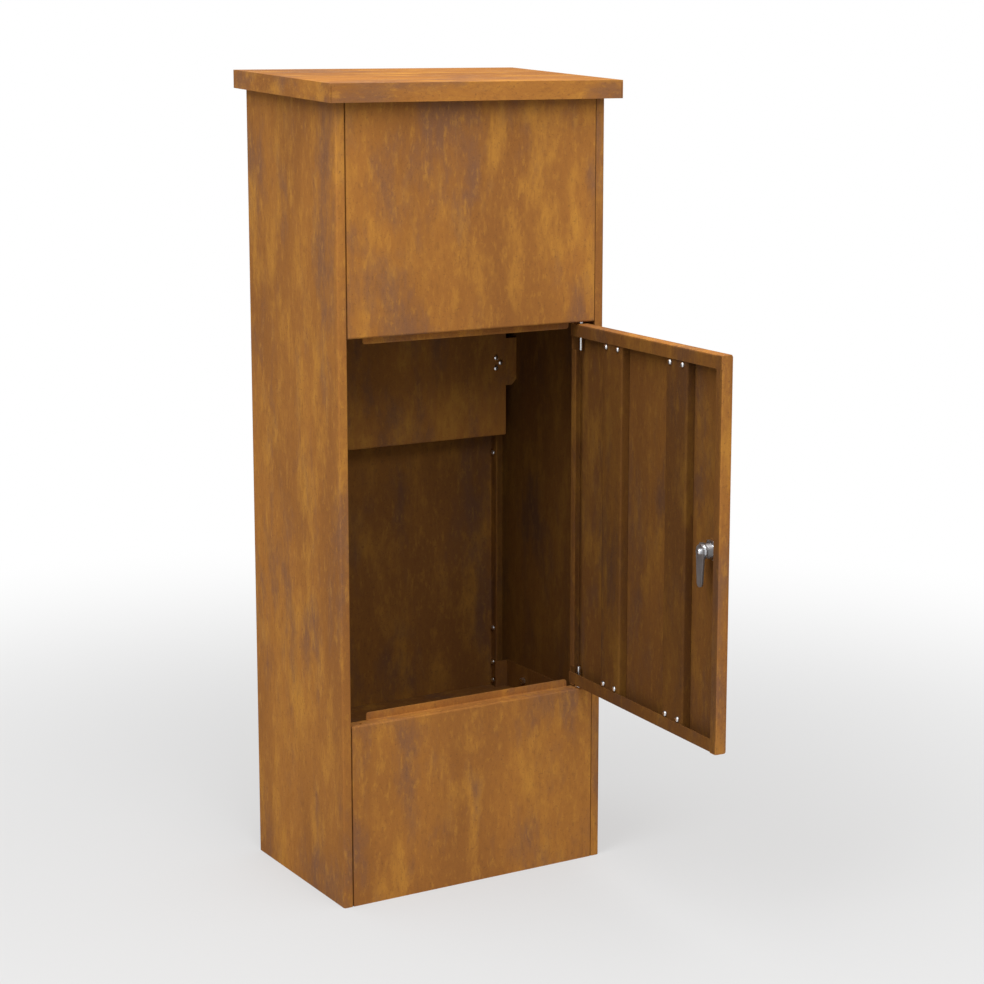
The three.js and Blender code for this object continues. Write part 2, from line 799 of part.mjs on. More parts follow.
// Lock body with its scalloped head outside the door, bored for the plug
function lockBody() {
  const head = new THREE.Shape();
  const scallops = 8;
  const steps = scallops * 6;
  const scallopDepth = 0.06;
  for (let i = 0; i < steps; i += 1) {
    const angle = i * 2 * Math.PI / steps;
    const radius = lockHeadRadius * (1 + scallopDepth * Math.cos(scallops * angle));
    const point = [radius * Math.cos(angle), radius * Math.sin(angle)];
    if (i === 0) head.moveTo(...point);
    else head.lineTo(...point);
  }
  const face = doorOuter - seat;
  let body = pull(head, 'y', face - lockHeadHeight * 0.6, face);
  const cap = turned([
    [0, 0],
    [lockHeadRadius * 0.95, 0],
    [lockHeadRadius * 0.78, lockHeadHeight * 0.5],
    [0, lockHeadHeight * 0.5],
  ], wideSides);
  body = body.add(solid(aimed(cap, [0, -1, 0], [0, face - lockHeadHeight * 0.5, 0])));
  body = body.add(bar('y', lockRadius, face - sheet, lockRear(), [0, 0], wideSides));
  const boreEnd = doorInner + 2 * camClearance;
  return body.subtract(bar('y', plugRadius + seat, face - 2 * lockHeadHeight, boreEnd, [0, 0], wideSides));
}

// Plug that the key turns, with the key slot in its face and a threaded hole for the cam's screw
function lockPlug() {
  const face = doorOuter - seat - lockHeadHeight;
  let plug = bar('y', plugRadius, face, lockRear(), [0, 0], wideSides);
  const slot = block(
    [-keySlotWidth / 2, face - sheet, -keySlotLength / 2],
    [keySlotWidth / 2, face + keySlotDepth, keySlotLength / 2],
  );
  plug = plug.subtract(slot);
  const threadStart = lockRear() - 2 * lockHeadHeight;
  return plug.subtract(bar('y', holeRadius, threadStart, lockRear() + sheet, [0, 0], smallSides));
}

// Cam: a flat tongue that hangs down when the lock is open
function lockCam() {
  const reach = camLength - camTipRadius;
  const lean = Math.acos((camHubRadius - camTipRadius) / reach);
  const shape = new THREE.Shape();
  shape.absarc(0, 0, camHubRadius, Math.PI + lean, Math.PI - lean + 2 * Math.PI, false);
  shape.absarc(-reach, 0, camTipRadius, Math.PI - lean, Math.PI + lean, false);
  shape.closePath();
  const hole = new THREE.Path();
  hole.absarc(0, 0, holeRadius, 0, 2 * Math.PI, true);
  shape.holes.push(hole);
  const near = doorInner + camClearance;
  return pull(shape, 'y', near, near + camThickness, 8);
}

// Materials, named after what each piece is made of
const rust = new THREE.MeshStandardMaterial({ color: 0xa5652a, roughness: 0.82, metalness: 0.15 });
const darkRust = new THREE.MeshStandardMaterial({ color: 0x6e4c2c, roughness: 0.85, metalness: 0.15 });
const zinc = new THREE.MeshStandardMaterial({ color: 0xc9cbcd, roughness: 0.35, metalness: 0.9 });
const chrome = new THREE.MeshStandardMaterial({ color: 0xdfe2e4, roughness: 0.15, metalness: 1 });
const camSteel = new THREE.MeshStandardMaterial({ color: 0x8f9294, roughness: 0.45, metalness: 0.85 });

function named(name, shape, material) {
  const geometry = shape.isBufferGeometry ? shape : geometryOf(shape);
  const mesh = new THREE.Mesh(geometry, material);
  mesh.name = name;
  return mesh;
}

function addShell(target) {
  target.add(named('left_side_panel', sidePanel(-1), rust));
  target.add(named('right_side_panel', sidePanel(1), rust));
  target.add(named('upper_front_panel', upperFrontPanel(), rust));
  target.add(named('lower_front_panel', lowerFrontPanel(), rust));
  target.add(named('back_panel', backPanel(), darkRust));
  target.add(named('floor_tray', floorTray(), darkRust));
  target.add(named('base_plate', basePlate(), darkRust));
}

function addRoof(target) {
  target.add(named('roof_cap', roofCap(), rust));
  target.add(named('roof_bearer_front', roofBearer(-bearerSpan / 2), darkRust));
  target.add(named('roof_bearer_rear', roofBearer(bearerSpan / 2), darkRust));
  roofStudPlaces().forEach(([x, y], index) => {
    const drop = (seat + sheet + seat + nutHeight) / Math.cos(roofAngle) + seat;
    const nut = named(`roof_nut_${index + 1}`, nutGeometry(nutAcross, nutHeight, roofStudRadius), zinc);
    nut.position.set(x, y, roofUnder(y) - drop);
    target.add(nut);
  });
}

function addBaffle(target) {
  target.add(named('baffle_plate', bafflePlate(), darkRust));
  target.add(named('baffle_bracket_left', baffleBracket(-1), darkRust));
  target.add(named('baffle_bracket_right', baffleBracket(1), darkRust));
  baffleBoltPlaces().forEach(([x, z], index) => {
    const bolt = aimed(boltGeometry(2 * sheet + 4 * seat), [0, -1, 0], [x, baffleFace - seat, z]);
    target.add(named(`baffle_bolt_${index + 1}`, bolt, zinc));
  });
}

function addBodyFasteners(target) {
  let count = 0;
  for (const side of [-1, 1]) {
    for (const height of backBoltHeights) {
      count += 1;
      const headAt = side * (backFlangeFace - sheet - seat);
      const place = [headAt, rear - rearLip / 2, height];
      const bolt = aimed(boltGeometry(2 * sheet + 4 * seat), [-side, 0, 0], place);
      target.add(named(`back_bolt_${count}`, bolt, zinc));
    }
  }
  count = 0;
  for (const side of [-1, 1]) {
    for (const y of trayStudDepths()) {
      count += 1;
      const place = [side * (halfWidth - 2 * sheet - 2 * seat), y, trayFloor + trayFlange / 2];
      const nut = aimed(nutGeometry(nutAcross, nutHeight, trayStudRadius), [-side, 0, 0], place);
      target.add(named(`tray_nut_${count}`, nut, zinc));
    }
  }
}

function addFlap(target) {
  const flap = new THREE.Group();
  flap.position.set(0, flapPinY(), flapPinZ());
  flap.add(named('letter_flap', letterFlap(), rust));
  flap.add(named('flap_pin', flapPin(), zinc));
  target.add(flap);
}

function addLock(door) {
  const lock = new THREE.Group();
  lock.position.set(doorFree + lockInset, 0, lockHeight);
  lock.add(named('lock_body', lockBody(), chrome));
  const nutPlace = [0, doorOuter + sheet + seat, 0];
  const nut = aimed(nutGeometry(lockNutAcross, lockNutHeight, lockRadius), [0, 1, 0], nutPlace);
  lock.add(named('lock_nut', nut, zinc));
  lock.add(named('lock_plug', lockPlug(), chrome));
  lock.add(named('lock_cam', lockCam(), camSteel));
  const camOuter = doorInner + camClearance + camThickness + seat;
  const screw = aimed(boltGeometry(camThickness + 2 * seat + lockHeadHeight), [0, 1, 0], [0, camOuter, 0]);
  lock.add(named('cam_screw', screw, zinc));
  door.add(lock);
}

function addDoor(target) {
  const door = new THREE.Group();
  door.position.set(hingeX, hingeY, 0);
  door.rotation.z = doorOpenAngle * toRadians;
  door.add(named('door_pan', doorPan(), rust));
  door.add(named('door_stiffener_hinge_side', doorStiffener(1), darkRust));
  door.add(named('door_stiffener_lock_side', doorStiffener(-1), darkRust));
  stiffenerBoltPlaces().forEach(([x, z], index) => {
    const bolt = aimed(boltGeometry(2 * sheet), [0, 1, 0], [x, stiffenerInner() + seat, z]);
    door.add(named(`stiffener_bolt_${index + 1}`, bolt, zinc));
  });
  door.add(named('hinge_pin_top', hingePin(1), zinc));
  door.add(named('hinge_pin_bottom', hingePin(-1), zinc));
  door.add(named('hinge_washer', hingeWasher(), zinc));
  addLock(door);
  target.add(door);
}

const mailbox = new THREE.Group();
addShell(mailbox);
addRoof(mailbox);
addBaffle(mailbox);
addBodyFasteners(mailbox);
addFlap(mailbox);
addDoor(mailbox);

export default mailbox;
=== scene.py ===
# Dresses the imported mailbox: weathering steel, eased sheet edges, plated fasteners, floor, light and camera
import json
import math

import bmesh
import bpy
from mathutils import Matrix, Vector


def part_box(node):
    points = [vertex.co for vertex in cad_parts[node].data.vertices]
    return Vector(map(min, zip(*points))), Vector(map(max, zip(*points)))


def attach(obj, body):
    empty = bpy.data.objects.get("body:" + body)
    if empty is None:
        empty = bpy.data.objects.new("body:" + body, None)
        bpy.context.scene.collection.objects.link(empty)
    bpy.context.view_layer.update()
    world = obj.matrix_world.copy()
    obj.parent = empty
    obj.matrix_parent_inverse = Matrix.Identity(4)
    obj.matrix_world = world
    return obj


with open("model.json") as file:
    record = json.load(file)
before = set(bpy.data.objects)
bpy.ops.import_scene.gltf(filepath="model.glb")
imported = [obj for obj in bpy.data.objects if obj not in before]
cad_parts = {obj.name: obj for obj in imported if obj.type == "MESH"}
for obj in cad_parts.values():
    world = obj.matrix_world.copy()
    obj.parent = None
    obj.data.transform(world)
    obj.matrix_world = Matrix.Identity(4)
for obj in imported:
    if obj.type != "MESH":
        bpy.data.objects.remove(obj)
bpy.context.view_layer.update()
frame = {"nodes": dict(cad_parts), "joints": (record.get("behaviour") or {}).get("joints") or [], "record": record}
nodes = frame["nodes"]

# Camera, fitted to the photograph's edges with the mailbox brought to the middle of the frame.
# It is turned to the right by its yaw and down by its pitch, in degrees.
LENS = 83.9
SENSOR = 36.0
CAMERA_PLACE = (-1.381, -2.474, 1.041)
CAMERA_YAW = 30.83
CAMERA_PITCH = 10.31
CAMERA_SHIFT = -0.04

# Floor, world and lamps: each lamp has its place, its side and its power
FLOOR_TONE = 0.48
FLOOR_ROUGHNESS = 0.9
FLOOR_LIFT = 0.45
FADE_START = 0.5
FADE_END = 1.9
WORLD_LIGHT = 0.53
BACKDROP = 1.0
LAMP_TARGET = (0.0, 0.0, 0.5)
LAMPS = (
    ("top_lamp", (-0.3, -0.5, 3.0), 2.4, 58.0),
    ("left_lamp", (-2.0, -0.8, 2.5), 1.4, 24.0),
    ("front_lamp", (-0.4, -2.5, 2.6), 1.6, 28.0),
)

# Scale of a pattern along x, y and z. Less than 1 draws it out: down the walls, or across the roof.
EVEN = (1.0, 1.0, 1.0)
DOWN = (1.0, 1.0, 0.36)
ACROSS = (0.4, 1.0, 1.0)
BRUSHED = (1.0, 1.0, 0.25)
ORIGIN = (0.0, 0.0, 0.0)

# Colours of the weathered steel and of the plated parts, as linear values
AMBER = (0.385, 0.153, 0.035)
OCHRE = (0.55, 0.25, 0.043)
BROWN = (0.275, 0.106, 0.03)
UMBER = (0.15, 0.064, 0.028)
PLUM = (0.185, 0.087, 0.055)
ZINC = (0.78, 0.79, 0.81)
CHROME = (0.88, 0.89, 0.9)
CAM_STEEL = (0.72, 0.72, 0.74)
# The barrel's steel is darkened as painted shade for the shade between the cam and the door.
SHADED_BARREL_STEEL = (0.26, 0.25, 0.25)

# Noise fields of the rust: scale per metre, detail, roughness and distortion.
# Those in EVEN_NOISES aren't drawn out, and each seed moves them all by SEED_STEP.
RUST_NOISES = {
    "clouds": (6.0, 4.0, 0.5, 0.2),
    "warmth": (24.0, 8.0, 0.64, 0.1),
    "stains": (15.0, 8.0, 0.66, 0.15),
    "dabs": (85.0, 5.0, 0.7, 0.1),
    "threads": (260.0, 3.0, 0.6, 0.0),
    "flecks": (360.0, 3.0, 0.6, 0.0),
    "grain": (1300.0, 2.0, 0.5, 0.0),
}
EVEN_NOISES = ("flecks", "grain")
SEED_STEP = (3.7, 1.9, 5.3)

# Most of a noise's values lie between these
NOISE_LOW = 0.3
NOISE_HIGH = 0.7

# Where the clouds turn from brown to amber. Then come the coats over them, in order:
# the field, the two values that it runs between, the coat's share at each, and its colour.
CLOUD_EDGES = (0.38, 0.62)
RUST_COATS = (
    ("warmth", 0.47, 0.68, 0.0, 0.7, OCHRE),
    ("stains", 0.48, 0.68, 0.0, 0.85, PLUM),
    ("dabs", 0.54, 0.7, 0.0, 0.45, OCHRE),
    ("dabs", 0.3, 0.46, 0.4, 0.0, BROWN),
    ("threads", 0.28, 0.46, 0.3, 0.0, UMBER),
    ("threads", 0.56, 0.7, 0.0, 0.3, OCHRE),
    ("flecks", 0.6, 0.68, 0.0, 0.5, UMBER),
    ("grain", NOISE_LOW, NOISE_HIGH, 0.0, 0.2, OCHRE),
)

# Roughness of the rust from few dabs to many, its shine, and its relief
RUST_ROUGHNESS = (0.88, 0.7)
RUST_SHINE = 0.06
RUST_RELIEF = 0.25
RUST_RELIEF_DEPTH = 0.0005
DABS_RELIEF = 0.8

# Metals by material slot: the material's name, colour and roughness, how much brushing varies the roughness,
# and how strong the dull patches are. The barrel's thread has its own, its steel darkened as painted shade.
METALS = {
    "zinc": ("zinc_plate", ZINC, 0.3, 0.06, 0.25),
    "chrome": ("chrome_plate", CHROME, 0.12, 0.03, 0.08),
    "cam_steel": ("cam_steel", CAM_STEEL, 0.34, 0.06, 0.2),
}
SHADED_BARREL_METAL = ("barrel_steel_painted_shade", SHADED_BARREL_STEEL, 0.45, 0.06, 0.3)
BRUSHING_NOISE = (1600.0, 3.0, 0.6, 0.0)
DULLING_NOISE = (240.0, 5.0, 0.65, 0.0)
DULLING_EDGES = (0.45, 0.75)
DULL_TONE = 0.5
METAL_RELIEF = 0.08
METAL_RELIEF_DEPTH = 0.0002

# Faces further in than SKIN are darkened with painted shade for the shaded hollow of the mailbox.
# On the front panels it is those further in than LIP_DEPTH.
# FAR is a length beyond the mailbox in every direction.
SKIN = 0.0008
LIP_DEPTH = 0.0185
FAR = 9.0

# Painted shade within the mailbox. Tone of the darker faces and parts, as shares of the outside's
WALL_PAINTED_SHADE = 0.36
BACK_PAINTED_SHADE = 0.5
DOOR_PAINTED_SHADE = 0.48
BAFFLE_PAINTED_SHADE = 0.75
STIFFENER_PAINTED_SHADE = 0.36

# First seeds of the outer and the inner sheets, and the roof's
OUTER_SEED = 1
INNER_SEED = 11
ROOF_SEED = 31.0

# Edge easing, and the mesh cleaning that comes before it
SHEET_EASING = 0.0003
CAP_EASING = 0.0007
FASTENER_EASING = 0.0002
EASING_SEGMENTS = 2
WELD = 0.000004
FLAT_ANGLE = math.radians(0.5)
EDGE_ANGLE = math.radians(38)

# Thread of the lock barrel, and the toothed ring that keeps it behind the cam
THREAD_PITCH = 0.001
THREAD_DEPTH = 0.00045
THREAD_ROOT = 0.0006
THREAD_LIFT = 0.00002
RING_WIDTH = 0.0016
RING_RISE = 0.0021
RING_TEETH = 16
TOOTH_DEPTH = 0.0014
TURN_SIDES = 64
PLAY = 0.0004


def add_object(name, data):
    item = bpy.data.objects.new(name, data)
    bpy.context.scene.collection.objects.link(item)
    return item


def joint_called(name):
    return next(joint for joint in frame["joints"] if joint["name"] == name)


def new_material(name):
    material = bpy.data.materials.new(name)
    material.use_nodes = True
    tree = material.node_tree
    tree.nodes.clear()
    output = tree.nodes.new("ShaderNodeOutputMaterial")
    shader = tree.nodes.new("ShaderNodeBsdfPrincipled")
    tree.links.new(shader.outputs["BSDF"], output.inputs["Surface"])
    return material, tree, shader


def add_node(tree, kind, **values):
    node = tree.nodes.new(kind)
    for key, value in values.items():
        setattr(node, key, value)
    return node


def feed(tree, socket, value):
    """Links a socket, or sets a plain number or colour on it."""
    if isinstance(value, bpy.types.NodeSocket):
        tree.links.new(value, socket)
    elif isinstance(value, tuple) and len(value) < len(socket.default_value):
        socket.default_value = (*value, 1.0)
    else:
        socket.default_value = value


def maths(tree, operation, *values):
    node = add_node(tree, "ShaderNodeMath", operation=operation)
    for socket, value in zip(node.inputs, values):
        feed(tree, socket, value)
    return node.outputs["Value"]


def mapped(tree, scale, offset=ORIGIN, turn=0.0, kind="POINT"):
    """Places in the row frame, scaled, turned about Z and moved."""
    place = add_node(tree, "ShaderNodeTexCoord")
    mapping = add_node(tree, "ShaderNodeMapping", vector_type=kind)
    mapping.inputs["Scale"].default_value = scale
    mapping.inputs["Location"].default_value = offset
    mapping.inputs["Rotation"].default_value = (0.0, 0.0, turn)
    tree.links.new(place.outputs["Object"], mapping.inputs["Vector"])
    return mapping.outputs["Vector"]


def noise(tree, vector, scale, detail, roughness, distortion):
    node = add_node(tree, "ShaderNodeTexNoise")
    node.inputs["Scale"].default_value = scale
    node.inputs["Detail"].default_value = detail
    node.inputs["Roughness"].default_value = roughness
    node.inputs["Distortion"].default_value = distortion
    tree.links.new(vector, node.inputs["Vector"])
    return node.outputs["Fac"]


def ramp(tree, value, low, high, low_value=0.0, high_value=1.0):
    """Turns smoothly from one value to the other between low and high."""
    node = add_node(tree, "ShaderNodeMapRange", interpolation_type="SMOOTHSTEP")
    limits = (("From Min", low), ("From Max", high), ("To Min", low_value), ("To Max", high_value))
    for socket, number in limits:
        node.inputs[socket].default_value = number
    tree.links.new(value, node.inputs["Value"])
    return node.outputs["Result"]


def mix(tree, factor, first, second, blend="MIX"):
    node = add_node(tree, "ShaderNodeMix", data_type="RGBA", blend_type=blend)
    sockets = [node.inputs[0]] + [socket for socket in node.inputs if socket.type == "RGBA"]
    for socket, value in zip(sockets, (factor, first, second)):
        feed(tree, socket, value)
    return [socket for socket in node.outputs if socket.type == "RGBA"][0]


def darkened(tree, colour, shade_tone):
    return mix(tree, 1.0, colour, (shade_tone, shade_tone, shade_tone), "MULTIPLY")


def bump(tree, shader, height, strength, distance):
    node = add_node(tree, "ShaderNodeBump")
    node.inputs["Strength"].default_value = strength
    node.inputs["Distance"].default_value = distance
    tree.links.new(height, node.inputs["Height"])
    tree.links.new(node.outputs["Normal"], shader.inputs["Normal"])


def painted_shade_mask(tree, low, high, turn, pivot):
    """1 within a box that is turned about Z at its pivot, and 0 outside it: where painted shade goes."""
    middle = Vector([(a + b) / 2 for a, b in zip(low, high)])
    half = tuple((b - a) / 2 for a, b in zip(low, high))
    centre = Vector(pivot) + Matrix.Rotation(turn, 3, "Z") @ middle
    place = mapped(tree, half, tuple(centre), turn, "TEXTURE")
    size = add_node(tree, "ShaderNodeVectorMath", operation="ABSOLUTE")
    split = add_node(tree, "ShaderNodeSeparateXYZ")
    tree.links.new(place, size.inputs[0])
    tree.links.new(size.outputs["Vector"], split.inputs["Vector"])
    furthest = maths(tree, "MAXIMUM", split.outputs["X"], split.outputs["Y"])
    furthest = maths(tree, "MAXIMUM", furthest, split.outputs["Z"])
    return maths(tree, "LESS_THAN", furthest, 1.0)


def rust_and_painted_shade(name, seed, run=DOWN, shade_tone=1.0, shaded_box=None, box_shade=1.0):
    """Weathered steel: broad clouds, ochre and plum patches, dabs along the run, then flecks and grain.

    Where a box is given, its faces are darkened by the given share as painted shade for the hollow of the mailbox,
    and a share below 1 for the whole piece darkens it all as painted shade.
    """
    material, tree, shader = new_material(name)
    shift = tuple(seed * step for step in SEED_STEP)
    along = mapped(tree, run, shift)
    even = mapped(tree, EVEN, shift)
    fields = {
        field: noise(tree, even if field in EVEN_NOISES else along, *settings)
        for field, settings in RUST_NOISES.items()
    }
    colour = mix(tree, ramp(tree, fields["clouds"], *CLOUD_EDGES), BROWN, AMBER)
    for field, low, high, low_share, high_share, coat in RUST_COATS:
        share = ramp(tree, fields[field], low, high, low_share, high_share)
        colour = mix(tree, share, colour, coat)
    # Painted shade: the whole piece darkened by its share, then the faces within the box by theirs.
    if shade_tone != 1.0:
        colour = darkened(tree, colour, shade_tone)
    if shaded_box:
        colour = mix(tree, painted_shade_mask(tree, *shaded_box), colour, darkened(tree, colour, box_shade))
    tree.links.new(colour, shader.inputs["Base Color"])
    roughness = ramp(tree, fields["dabs"], NOISE_LOW, NOISE_HIGH, *RUST_ROUGHNESS)
    tree.links.new(roughness, shader.inputs["Roughness"])
    shader.inputs["Specular IOR Level"].default_value = RUST_SHINE
    fine = maths(tree, "ADD", fields["flecks"], fields["grain"])
    height = maths(tree, "ADD", maths(tree, "MULTIPLY", fields["dabs"], DABS_RELIEF), fine)
    bump(tree, shader, height, RUST_RELIEF, RUST_RELIEF_DEPTH)
    return material


def metal(name, colour, roughness, scratch, dulling):
    """Plated or bare steel with fine brushing and slight dulling."""
    material, tree, shader = new_material(name)
    fine = noise(tree, mapped(tree, BRUSHED), *BRUSHING_NOISE)
    dull = noise(tree, mapped(tree, EVEN), *DULLING_NOISE)
    darker = tuple(channel * DULL_TONE for channel in colour)
    finish = mix(tree, ramp(tree, dull, *DULLING_EDGES, 0.0, dulling), colour, darker)
    tree.links.new(finish, shader.inputs["Base Color"])
    brushed = ramp(tree, fine, NOISE_LOW, NOISE_HIGH, roughness - scratch, roughness + scratch)
    tree.links.new(brushed, shader.inputs["Roughness"])
    shader.inputs["Metallic"].default_value = 1.0
    bump(tree, shader, fine, METAL_RELIEF, METAL_RELIEF_DEPTH)
    return material


def smooth_shading():
    """A node group that shades a mesh smooth."""
    group = bpy.data.node_groups.new("smooth_shading", "GeometryNodeTree")
    group.interface.new_socket("Geometry", in_out="INPUT", socket_type="NodeSocketGeometry")
    group.interface.new_socket("Geometry", in_out="OUTPUT", socket_type="NodeSocketGeometry")
    start = group.nodes.new("NodeGroupInput")
    smooth = group.nodes.new("GeometryNodeSetShadeSmooth")
    end = group.nodes.new("NodeGroupOutput")
    group.links.new(start.outputs[0], smooth.inputs["Geometry"])
    group.links.new(smooth.outputs[0], end.inputs[0])
    return group


def ease_edges(piece, width, smooth):
    """Joins the facets, rounds the sharp edges a little and shades the result smooth."""
    weld = piece.modifiers.new("joined facets", "WELD")
    weld.merge_threshold = WELD
    flat = piece.modifiers.new("flat faces", "DECIMATE")
    flat.decimate_type = "DISSOLVE"
    flat.angle_limit = FLAT_ANGLE
    easing = piece.modifiers.new("eased edges", "BEVEL")
    easing.width = width
    easing.segments = EASING_SEGMENTS
    easing.limit_method = "ANGLE"
    easing.angle_limit = EDGE_ANGLE
    easing.use_clamp_overlap = True
    shading = piece.modifiers.new("smooth shading", "NODES")
    shading.node_group = smooth
    piece.modifiers.new("face normals", "WEIGHTED_NORMAL")


def dress(name, material, width, smooth):
    """Gives a CAD node its material, on the object and not on the mesh, and eases its edges."""
    slot = nodes[name].material_slots[0]
    slot.link = "OBJECT"
    slot.material = material
    ease_edges(nodes[name], width, smooth)


def body_shade_box(front_depth=SKIN):
    """The box within the body's outer skin, where painted shade goes, with no turn. Its front is this deep."""
    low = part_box("left_side_panel")[0]
    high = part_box("right_side_panel")[1]
    near = (low[0] + SKIN, low[1] + front_depth, -FAR)
    far = (high[0] - SKIN, high[1] - SKIN, FAR)
    return near, far, 0.0, ORIGIN


def door_shade_box():
    """The box within the door's outer skin and rim, where painted shade goes, with the door's turn and pivot."""
    hinge = joint_called("door_hinge")
    turn = math.radians(-min(hinge["range_deg"]))
    pivot = Vector((*hinge["pos_m"][:2], 0.0))
    closed = Matrix.Rotation(-turn, 3, "Z")
    spots = [closed @ (corner.co - pivot) for corner in nodes["door_pan"].data.vertices]
    low = [min(spot[axis] for spot in spots) + SKIN for axis in range(3)]
    high = [max(spot[axis] for spot in spots) - SKIN for axis in range(3)]
    return low, (high[0], FAR, high[2]), turn, pivot


def finish_rust_and_painted_shade(smooth):
    # The sheets' faces within the mailbox are darkened as painted shade; the front panels' lips are left out.
    body_shade = body_shade_box()
    shade_behind_lips = body_shade_box(LIP_DEPTH)
    outer = (
        ("left_side_panel", body_shade, WALL_PAINTED_SHADE),
        ("right_side_panel", body_shade, WALL_PAINTED_SHADE),
        ("upper_front_panel", shade_behind_lips, WALL_PAINTED_SHADE),
        ("lower_front_panel", shade_behind_lips, WALL_PAINTED_SHADE),
        ("back_panel", body_shade, BACK_PAINTED_SHADE),
        ("door_pan", door_shade_box(), DOOR_PAINTED_SHADE),
        ("letter_flap", None, 1.0),
    )
    for seed, (name, shaded_box, box_shade) in enumerate(outer, OUTER_SEED):
        material = rust_and_painted_shade(name + "_rust", seed, shaded_box=shaded_box, box_shade=box_shade)
        dress(name, material, SHEET_EASING, smooth)
    dress("roof_cap", rust_and_painted_shade("roof_cap_rust", ROOF_SEED, ACROSS), CAP_EASING, smooth)
    # The inner parts are darkened all over as painted shade for the shaded hollow of the mailbox.
    inner = (
        ("baffle_plate", BAFFLE_PAINTED_SHADE),
        ("baffle_bracket_left", BAFFLE_PAINTED_SHADE),
        ("baffle_bracket_right", BAFFLE_PAINTED_SHADE),
        ("floor_tray", BACK_PAINTED_SHADE),
        ("base_plate", BACK_PAINTED_SHADE),
        ("roof_bearer_front", WALL_PAINTED_SHADE),
        ("roof_bearer_rear", WALL_PAINTED_SHADE),
        ("door_stiffener_hinge_side", STIFFENER_PAINTED_SHADE),
        ("door_stiffener_lock_side", STIFFENER_PAINTED_SHADE),
    )
    for seed, (name, shade_tone) in enumerate(inner, INNER_SEED):
        dress(name, rust_and_painted_shade(name + "_rust", seed, shade_tone=shade_tone), SHEET_EASING, smooth)


def finish_fasteners(smooth):
    """Gives each fastener, pin and lock piece the metal of its slot in the record."""
    finishes = {slot: metal(*settings) for slot, settings in METALS.items()}
    for part in frame["record"]["subparts"]:
        finish = finishes.get(part["material_slot"])
        if finish:
            dress(part["node"], finish, FASTENER_EASING, smooth)
    # The thread takes the barrel steel darkened as painted shade.
    add_lock_barrel_detail(metal(*SHADED_BARREL_METAL), finishes["zinc"])


def revolved(name, outlines, pivot, axis):
    """A ring round the axis through the pivot.

    Each side has its outline of (place along the axis, radius), all with as many points.
    """
    across = axis.orthogonal().normalized()
    beside = axis.cross(across)
    form = bmesh.new()
    loops = []
    for step, outline in enumerate(outlines):
        angle = 2 * math.pi * step / len(outlines)
        outward = across * math.cos(angle) + beside * math.sin(angle)
        spots = [pivot + axis * place + outward * radius for place, radius in outline]
        loops.append([form.verts.new(spot) for spot in spots])
    for loop, following in zip(loops, loops[1:] + loops[:1]):
        for index in range(len(loop)):
            after = (index + 1) % len(loop)
            form.faces.new((loop[index], loop[after], following[after], following[index]))
    bmesh.ops.recalc_face_normals(form, faces=form.faces)
    mesh = bpy.data.meshes.new(name)
    form.to_mesh(mesh)
    form.free()
    return add_object(name, mesh)


def thread_outline(start, end, barrel):
    """Ridges on the barrel from start to end, closed below the barrel's surface."""
    foot_radius = barrel + THREAD_LIFT
    outline = [(start, barrel - THREAD_ROOT)]
    for index in range(int((end - start) / THREAD_PITCH)):
        foot = start + index * THREAD_PITCH
        outline += [(foot, foot_radius), (foot + THREAD_PITCH / 2, barrel + THREAD_DEPTH)]
    return outline + [(end, foot_radius), (end, barrel - THREAD_ROOT)]


def ring_outline(low, high, barrel, radius):
    inner = barrel - THREAD_ROOT
    return [(low, inner), (low, radius), (high, radius), (high, inner)]


def add_lock_barrel_detail(shaded_barrel_finish, ring_finish):
    """Thread on the barrel between its nut and the cam, and the toothed ring behind the cam."""
    turn = joint_called("lock_turn")
    pivot = Vector(turn["pos_m"])
    axis = Vector(turn["axis"]).normalized()
    body = [corner.co - pivot for corner in nodes["lock_body"].data.vertices]
    body_end = max(offset.dot(axis) for offset in body)
    nut_end = max((corner.co - pivot).dot(axis) for corner in nodes["lock_nut"].data.vertices)
    rear = [offset for offset in body if offset.dot(axis) > body_end - PLAY]
    barrel = max((offset - axis * offset.dot(axis)).length for offset in rear)
    ring_high = body_end - PLAY
    ring_low = ring_high - RING_WIDTH
    whole = ring_outline(ring_low, ring_high, barrel, barrel + RING_RISE)
    notched = ring_outline(ring_low, ring_high, barrel, barrel + RING_RISE - TOOTH_DEPTH)
    sides_per_tooth = TURN_SIDES // RING_TEETH
    ring = [whole if step % sides_per_tooth else notched for step in range(TURN_SIDES)]
    thread = [thread_outline(nut_end + PLAY, ring_low - PLAY, barrel)] * TURN_SIDES
    for name, outlines, finish, slot in (
        ("lock_barrel_thread", thread, shaded_barrel_finish, "cam_steel"),
        ("lock_barrel_ring", ring, ring_finish, "zinc"),
    ):
        piece = revolved(name, outlines, pivot, axis)
        piece.data.materials.append(finish)
        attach(piece, "door")


def seen_directly(tree):
    """1 for rays from the camera and for those that a mirror or glass sends on, and 0 for the rest."""
    path = add_node(tree, "ShaderNodeLightPath")
    mirrored = maths(tree, "MAXIMUM", path.outputs["Is Glossy Ray"], path.outputs["Is Transmission Ray"])
    return maths(tree, "MAXIMUM", path.outputs["Is Camera Ray"], mirrored)


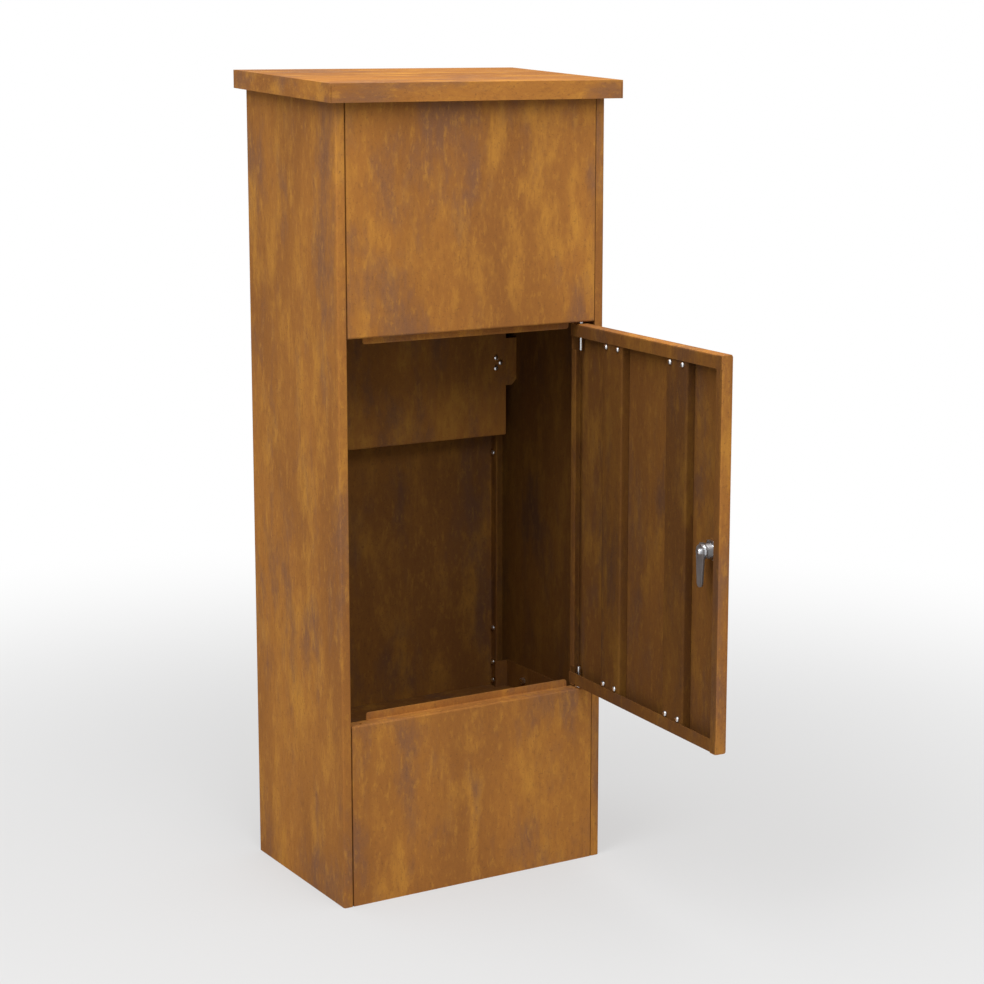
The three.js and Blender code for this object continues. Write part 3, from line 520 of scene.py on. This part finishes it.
def make_floor():
    """A pale floor that keeps the shadow near the mailbox and fades to white away from it."""
    mesh = bpy.data.meshes.new("floor")
    corners = [(-FAR, -FAR, 0.0), (FAR, -FAR, 0.0), (FAR, FAR, 0.0), (-FAR, FAR, 0.0)]
    mesh.from_pydata(corners, [], [(0, 1, 2, 3)])
    floor = add_object("floor", mesh)
    material, tree, shader = new_material("pale_floor")
    feed(tree, shader.inputs["Base Color"], (FLOOR_TONE, FLOOR_TONE, FLOOR_TONE))
    shader.inputs["Roughness"].default_value = FLOOR_ROUGHNESS
    distance = add_node(tree, "ShaderNodeVectorMath", operation="LENGTH")
    tree.links.new(mapped(tree, EVEN), distance.inputs[0])
    far_off = ramp(tree, distance.outputs["Value"], FADE_START, FADE_END, FLOOR_LIFT, 1.0)
    white = add_node(tree, "ShaderNodeEmission")
    blend = add_node(tree, "ShaderNodeMixShader")
    feed(tree, blend.inputs[0], maths(tree, "MULTIPLY", far_off, seen_directly(tree)))
    tree.links.new(shader.outputs["BSDF"], blend.inputs[1])
    tree.links.new(white.outputs["Emission"], blend.inputs[2])
    output = next(node for node in tree.nodes if node.type == "OUTPUT_MATERIAL")
    tree.links.new(blend.outputs["Shader"], output.inputs["Surface"])
    mesh.materials.append(material)


def make_world():
    """Soft light from all round, and a white backdrop where the world is seen directly."""
    world = bpy.data.worlds.new("studio")
    world.use_nodes = True
    tree = world.node_tree
    tree.nodes.clear()
    output = tree.nodes.new("ShaderNodeOutputWorld")
    choice = tree.nodes.new("ShaderNodeMixShader")
    tree.links.new(seen_directly(tree), choice.inputs[0])
    for socket, strength in zip(choice.inputs[1:], (WORLD_LIGHT, BACKDROP)):
        shade = tree.nodes.new("ShaderNodeBackground")
        shade.inputs["Color"].default_value = (1.0, 1.0, 1.0, 1.0)
        shade.inputs["Strength"].default_value = strength
        tree.links.new(shade.outputs["Background"], socket)
    tree.links.new(choice.outputs["Shader"], output.inputs["Surface"])
    bpy.context.scene.world = world


def make_lamps():
    for name, place, size, power in LAMPS:
        data = bpy.data.lights.new(name, "AREA")
        data.shape = "SQUARE"
        data.size = size
        data.energy = power
        lamp = add_object(name, data)
        lamp.location = place
        lamp.rotation_mode = "QUATERNION"
        lamp.rotation_quaternion = (Vector(LAMP_TARGET) - Vector(place)).to_track_quat("-Z", "Y")


def make_camera():
    data = bpy.data.cameras.new("camera")
    data.lens = LENS
    data.sensor_width = SENSOR
    data.shift_y = CAMERA_SHIFT
    camera = add_object("camera", data)
    camera.location = CAMERA_PLACE
    camera.rotation_euler = (math.radians(90.0 - CAMERA_PITCH), 0.0, math.radians(-CAMERA_YAW))
    bpy.context.scene.camera = camera


smooth = smooth_shading()
finish_rust_and_painted_shade(smooth)
finish_fasteners(smooth)
make_floor()
make_world()
make_lamps()
make_camera()
bpy.context.scene.view_settings.view_transform = "Standard"
